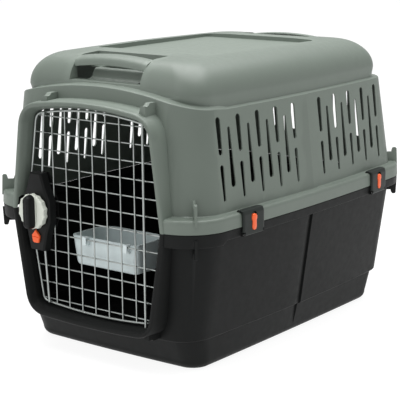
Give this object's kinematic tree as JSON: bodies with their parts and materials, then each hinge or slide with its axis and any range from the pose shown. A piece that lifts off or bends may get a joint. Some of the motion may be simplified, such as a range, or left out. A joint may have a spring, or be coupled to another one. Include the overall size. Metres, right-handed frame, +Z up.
{
  "type": "pet transport carrier",
  "caption": "Hard-shell pet carrier: slotted upper shell, deep lower tub, swinging wire door with turning rod lock, hanging bowl, side latches and roof grips.",
  "frame": {"origin": "centre of the base on the floor", "axes": "+Z up, door facing -Y, +X to the right seen from the front"},
  "size_m": [0.483, 0.682, 0.5],
  "materials": {
    "sage_shell": "fine-grained moulded sage green",
    "charcoal_tub": "fine-grained moulded charcoal",
    "latch_dark": "satin dark grey-green",
    "orange": "satin orange",
    "zinc_wire": "bright zinc plate",
    "steel_pin": "plain steel",
    "silver_knob": "satin silver grey",
    "black_lock": "satin black",
    "bowl_grey": "pale grey, slightly glossy"
  },
  "bodies": {
    "shell": {"upper_shell": "sage_shell", "lower_tub": "charcoal_tub", "latch_pin_front_right": "steel_pin", "latch_pin_rear_right": "steel_pin", "latch_pin_front_left": "steel_pin", "latch_pin_rear_left": "steel_pin"},
    "door": {"door_grid": "zinc_wire", "hinge_rod": "zinc_wire", "lock_housing": "black_lock", "lock_back_plate": "black_lock", "lock_screw_1": "steel_pin", "lock_screw_2": "steel_pin", "lock_screw_3": "steel_pin", "lock_screw_4": "steel_pin"},
    "knob": {"lock_knob": "silver_knob", "knob_grip": "black_lock", "lock_cam": "black_lock"},
    "upper_rod": {"upper_locking_rod": "zinc_wire"},
    "lower_rod": {"lower_locking_rod": "zinc_wire"},
    "catch": {"safety_catch": "orange"},
    "bowl": {"water_bowl": "bowl_grey"},
    "latch_front_right_body": {"latch_front_right": "latch_dark"},
    "latch_lock_front_right_body": {"latch_lock_front_right": "orange"},
    "latch_rear_right_body": {"latch_rear_right": "latch_dark"},
    "latch_lock_rear_right_body": {"latch_lock_rear_right": "orange"},
    "latch_front_left_body": {"latch_front_left": "latch_dark"},
    "latch_lock_front_left_body": {"latch_lock_front_left": "orange"},
    "latch_rear_left_body": {"latch_rear_left": "latch_dark"},
    "latch_lock_rear_left_body": {"latch_lock_rear_left": "orange"}
  },
  "joints": [
    {"name": "door_hinge", "type": "hinge", "parent": "shell", "child": "door", "pos_m": [0.11, -0.313, 0.245], "axis": [0, 0, 1], "range_deg": [0, 105]},
    {"name": "knob_turn", "type": "hinge", "parent": "door", "child": "knob", "pos_m": [-0.1135, -0.33, 0.2405], "axis": [0, 1, 0], "range_deg": [0, 90]},
    {"name": "upper_rod_slide", "type": "slide", "parent": "door", "child": "upper_rod", "axis": [-0.0698, 0, -0.9976], "range_m": [0, 0.014]},
    {"name": "lower_rod_slide", "type": "slide", "parent": "door", "child": "lower_rod", "axis": [-0.0698, 0, 0.9976], "range_m": [0, 0.014]},
    {"name": "safety_catch_slide", "type": "slide", "parent": "door", "child": "catch", "axis": [0, 0, -1], "range_m": [0, 0.005], "stiffness_N_per_m": 100, "springref_m": -0.002},
    {"name": "bowl_lift", "type": "slide", "parent": "door", "child": "bowl", "axis": [0, 0, 1], "range_m": [0, 0.018]},
    {"name": "latch_front_right_hinge", "type": "hinge", "parent": "shell", "child": "latch_front_right_body", "pos_m": [0.23802, -0.195, 0.2275], "axis": [0.048, 0.9988, 0], "range_deg": [0, 100]},
    {"name": "latch_lock_front_right_slide", "type": "slide", "parent": "latch_front_right_body", "child": "latch_lock_front_right_body", "axis": [0, 0, 1], "range_m": [0, 0.003]},
    {"name": "latch_rear_right_hinge", "type": "hinge", "parent": "shell", "child": "latch_rear_right_body", "pos_m": [0.23802, 0.195, 0.2275], "axis": [-0.048, 0.9988, 0], "range_deg": [0, 100]},
    {"name": "latch_lock_rear_right_slide", "type": "slide", "parent": "latch_rear_right_body", "child": "latch_lock_rear_right_body", "axis": [0, 0, 1], "range_m": [0, 0.003]},
    {"name": "latch_front_left_hinge", "type": "hinge", "parent": "shell", "child": "latch_front_left_body", "pos_m": [-0.23802, -0.195, 0.2275], "axis": [0.048, -0.9988, 0], "range_deg": [0, 100]},
    {"name": "latch_lock_front_left_slide", "type": "slide", "parent": "latch_front_left_body", "child": "latch_lock_front_left_body", "axis": [0, 0, 1], "range_m": [0, 0.003]},
    {"name": "latch_rear_left_hinge", "type": "hinge", "parent": "shell", "child": "latch_rear_left_body", "pos_m": [-0.23802, 0.195, 0.2275], "axis": [-0.048, -0.9988, 0], "range_deg": [0, 100]},
    {"name": "latch_lock_rear_left_slide", "type": "slide", "parent": "latch_rear_left_body", "child": "latch_lock_rear_left_body", "axis": [0, 0, 1], "range_m": [0, 0.003]}
  ],
  "couplings": [
    {"joint": "upper_rod_slide", "follows": "knob_turn", "m_per_rad": 0.00891},
    {"joint": "lower_rod_slide", "follows": "knob_turn", "m_per_rad": 0.00891}
  ]
}
